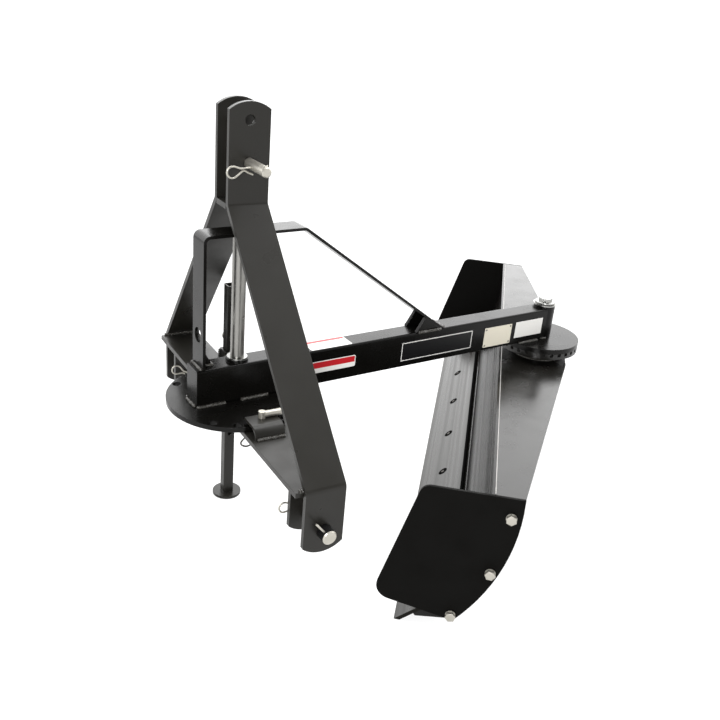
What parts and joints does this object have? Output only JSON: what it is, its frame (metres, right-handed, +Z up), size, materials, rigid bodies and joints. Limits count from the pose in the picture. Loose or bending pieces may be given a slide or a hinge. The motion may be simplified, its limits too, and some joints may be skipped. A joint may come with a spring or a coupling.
{
  "type": "rear grader blade",
  "caption": "Rear grader blade for a three-point linkage: A-frame mast, swinging boom with index plate, parking stand and a curved blade on a notched pivot.",
  "frame": {"origin": "on the ground, at the middle of the box around the whole machine at rest", "axes": "+X points to the tractor, +Y to the left of the way of travel and +Z up; the lower link pins lie along Y"},
  "size_m": [1.4486, 1.3086, 0.973],
  "materials": {
    "black_paint": "glossy black enamel over welded steel",
    "edge_paint": "satin dark enamel on the cutting edge",
    "bare_steel": "turned steel, lightly brushed",
    "zinc": "bright zinc plate"
  },
  "bodies": {
    "mast": {"cross_bars": "black_paint", "hitch_lugs": "black_paint", "king_pin": "bare_steel", "linkage_pins": "zinc", "lock_bracket": "black_paint", "lock_pin": "zinc", "mast_leg_left": "black_paint", "mast_leg_right": "black_paint", "stand_sleeve": "black_paint"},
    "stand": {"stand_tube": "black_paint", "stand_pin": "zinc"},
    "boom": {"boom_cap": "black_paint", "boom_plates": "black_paint", "boom_strap": "black_paint", "boom_tube": "black_paint", "boom_washers": "zinc", "front_gusset": "black_paint", "strap_gussets": "black_paint"},
    "blade": {"centre_ribs": "black_paint", "cutting_edge": "edge_paint", "end_ribs": "black_paint", "end_shields": "black_paint", "moldboard": "black_paint", "notched_disc": "black_paint", "pedestal": "black_paint", "pivot_bolt": "zinc", "top_plate": "black_paint"}
  },
  "joints": [
    {"name": "boom_swing", "type": "hinge", "parent": "mast", "child": "boom", "pos_m": [0.58136, 0.14829, 0.41], "axis": [0, 0, 1], "range_deg": [-21, 21]},
    {"name": "blade_angle", "type": "hinge", "parent": "boom", "child": "blade", "pos_m": [-0.28146, 0.10308, 0.4], "axis": [0, 0, 1], "range_deg": [0, 84.6]},
    {"name": "stand_lift", "type": "slide", "parent": "mast", "child": "stand", "axis": [0, 0, 1], "range_m": [0, 0.225]}
  ]
}
